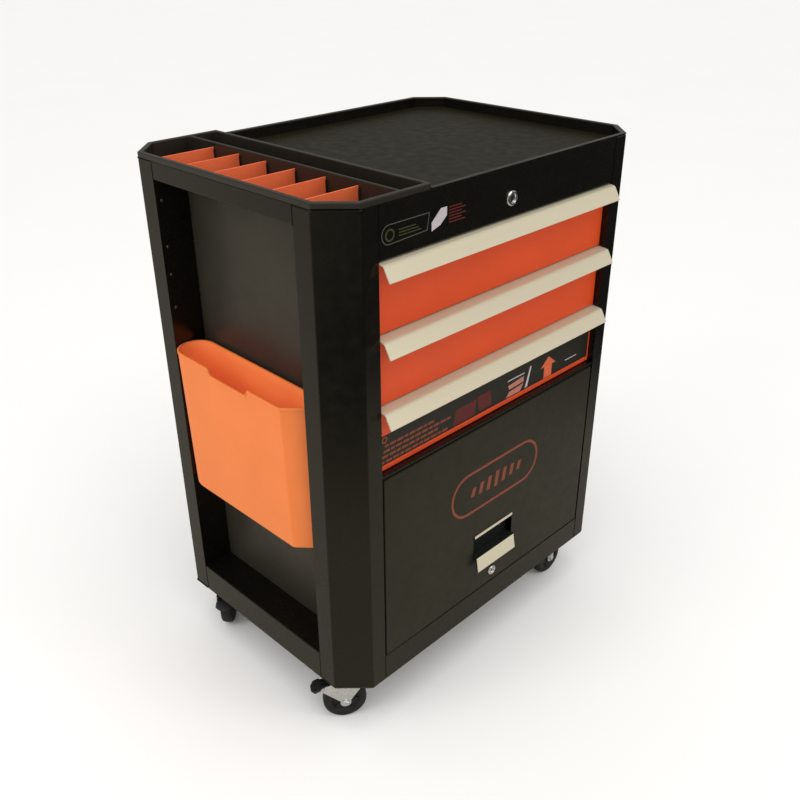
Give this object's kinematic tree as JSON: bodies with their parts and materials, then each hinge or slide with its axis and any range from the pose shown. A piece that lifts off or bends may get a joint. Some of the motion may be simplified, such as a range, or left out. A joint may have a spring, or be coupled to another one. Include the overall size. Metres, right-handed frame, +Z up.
{
  "type": "rolling tool chest",
  "caption": "Sheet steel tool chest on casters: full-width drawers, a lift-and-slide door, a side niche with a bin, a divided side tray and a recessed top.",
  "frame": {"origin": "on the floor, under the middle of the whole object's bounding box", "axes": "+Z up, -Y out of the drawer front, +X to the right when facing the drawers"},
  "size_m": [0.6916, 0.5, 0.908],
  "materials": {
    "cabinet_black": "satin black powder coat",
    "panel_charcoal": "satin charcoal powder coat",
    "drawer_orange": "semi-gloss orange powder coat",
    "bin_orange": "moulded orange polypropylene",
    "tray_black": "moulded black, satin",
    "handle_champagne": "champagne anodised",
    "zinc": "bright zinc plate",
    "chrome": "polished chrome",
    "wheel_rubber": "black moulded rubber",
    "pedal_black": "black nylon"
  },
  "bodies": {
    "cabinet": {"front_left_post": "cabinet_black", "rear_left_post": "cabinet_black", "right_side_panel": "cabinet_black", "left_inner_panel": "panel_charcoal", "right_inner_panel": "panel_charcoal", "back_panel": "cabinet_black", "base_plate": "cabinet_black", "compartment_floor": "cabinet_black", "front_fascia": "cabinet_black", "middle_rail": "cabinet_black", "niche_top_rail": "cabinet_black", "niche_bottom_rail": "cabinet_black", "top_pan": "cabinet_black", "side_tray": "tray_black", "side_bin": "bin_orange", "left_slide_rack": "zinc", "right_slide_rack": "zinc", "left_door_track": "zinc", "right_door_track": "zinc", "drawer_lock_barrel": "chrome", "front_left_caster_plate": "zinc", "rear_left_caster_plate": "zinc", "front_right_fork": "zinc", "rear_right_fork": "zinc", "tray_divider_1": "drawer_orange", "tray_divider_2": "drawer_orange", "tray_divider_3": "drawer_orange", "tray_divider_4": "drawer_orange", "tray_divider_5": "drawer_orange", "tray_divider_6": "drawer_orange"},
    "drawer_1": {"drawer_1_front": "drawer_orange", "drawer_1_box": "cabinet_black", "drawer_1_handle": "handle_champagne", "drawer_1_left_slide": "zinc", "drawer_1_right_slide": "zinc"},
    "drawer_2": {"drawer_2_front": "drawer_orange", "drawer_2_box": "cabinet_black", "drawer_2_handle": "handle_champagne", "drawer_2_left_slide": "zinc", "drawer_2_right_slide": "zinc"},
    "drawer_3": {"drawer_3_front": "drawer_orange", "drawer_3_box": "cabinet_black", "drawer_3_handle": "handle_champagne", "drawer_3_left_slide": "zinc", "drawer_3_right_slide": "zinc"},
    "door_carriage": {"left_door_roller": "zinc", "right_door_roller": "zinc"},
    "door": {"door_skin": "panel_charcoal", "door_pull": "handle_champagne"},
    "door_lock": {"door_lock_plug": "chrome"},
    "drawer_lock": {"drawer_lock_plug": "chrome"},
    "lock_bar": {"lock_bar": "zinc"},
    "front_left_caster": {"front_left_fork": "zinc"},
    "front_left_wheel": {"front_left_wheel": "wheel_rubber"},
    "front_left_brake": {"front_left_brake_pedal": "pedal_black"},
    "rear_left_caster": {"rear_left_fork": "zinc"},
    "rear_left_wheel": {"rear_left_wheel": "wheel_rubber"},
    "rear_left_brake": {"rear_left_brake_pedal": "pedal_black"},
    "front_right_wheel": {"front_right_wheel": "wheel_rubber"},
    "rear_right_wheel": {"rear_right_wheel": "wheel_rubber"}
  },
  "joints": [
    {"name": "drawer_1_slide", "type": "slide", "parent": "cabinet", "child": "drawer_1", "axis": [0, -1, 0], "range_m": [0, 0.32]},
    {"name": "drawer_2_slide", "type": "slide", "parent": "cabinet", "child": "drawer_2", "axis": [0, -1, 0], "range_m": [0, 0.32]},
    {"name": "drawer_3_slide", "type": "slide", "parent": "cabinet", "child": "drawer_3", "axis": [0, -1, 0], "range_m": [0, 0.32]},
    {"name": "door_retract", "type": "slide", "parent": "cabinet", "child": "door_carriage", "axis": [0, 1, 0], "range_m": [0, 0.3]},
    {"name": "door_lift", "type": "hinge", "parent": "door_carriage", "child": "door", "pos_m": [0.00575, -0.2185, 0.469], "axis": [-1, 0, 0], "range_deg": [0, 90]},
    {"name": "door_lock_turn", "type": "hinge", "parent": "door", "child": "door_lock", "pos_m": [0.00575, -0.23, 0.177], "axis": [0, 1, 0], "range_deg": [0, 90]},
    {"name": "drawer_lock_turn", "type": "hinge", "parent": "cabinet", "child": "drawer_lock", "pos_m": [0.00575, -0.23, 0.854], "axis": [0, 1, 0], "range_deg": [0, 90]},
    {"name": "lock_bar_travel", "type": "slide", "parent": "cabinet", "child": "lock_bar", "axis": [0, 0, -1], "range_m": [0, 0.008]},
    {"name": "front_left_swivel", "type": "hinge", "parent": "cabinet", "child": "front_left_caster", "pos_m": [-0.27325, -0.174, 0.09], "axis": [0, 0, 1], "continuous": true},
    {"name": "front_left_wheel_roll", "type": "hinge", "parent": "front_left_caster", "child": "front_left_wheel", "pos_m": [-0.29338, -0.16093, 0.0375], "axis": [-0.5446, -0.8387, 0], "continuous": true},
    {"name": "front_left_brake_press", "type": "hinge", "parent": "front_left_caster", "child": "front_left_brake", "pos_m": [-0.28164, -0.16855, 0.0815], "axis": [-0.5446, -0.8387, 0], "range_deg": [0, 6]},
    {"name": "rear_left_swivel", "type": "hinge", "parent": "cabinet", "child": "rear_left_caster", "pos_m": [-0.27325, 0.194, 0.09], "axis": [0, 0, 1], "continuous": true},
    {"name": "rear_left_wheel_roll", "type": "hinge", "parent": "rear_left_caster", "child": "rear_left_wheel", "pos_m": [-0.29022, 0.17703, 0.0375], "axis": [0.7071, -0.7071, 0], "continuous": true},
    {"name": "rear_left_brake_press", "type": "hinge", "parent": "rear_left_caster", "child": "rear_left_brake", "pos_m": [-0.28032, 0.18693, 0.0815], "axis": [0.7071, -0.7071, 0], "range_deg": [0, 6]},
    {"name": "front_right_wheel_roll", "type": "hinge", "parent": "cabinet", "child": "front_right_wheel", "pos_m": [0.25975, -0.174, 0.0375], "axis": [0, 1, 0], "continuous": true},
    {"name": "rear_right_wheel_roll", "type": "hinge", "parent": "cabinet", "child": "rear_right_wheel", "pos_m": [0.25975, 0.194, 0.0375], "axis": [0, 1, 0], "continuous": true}
  ],
  "couplings": [
    {"joint": "drawer_lock_turn", "follows": "lock_bar_travel", "rad_per_m": 196.35}
  ]
}
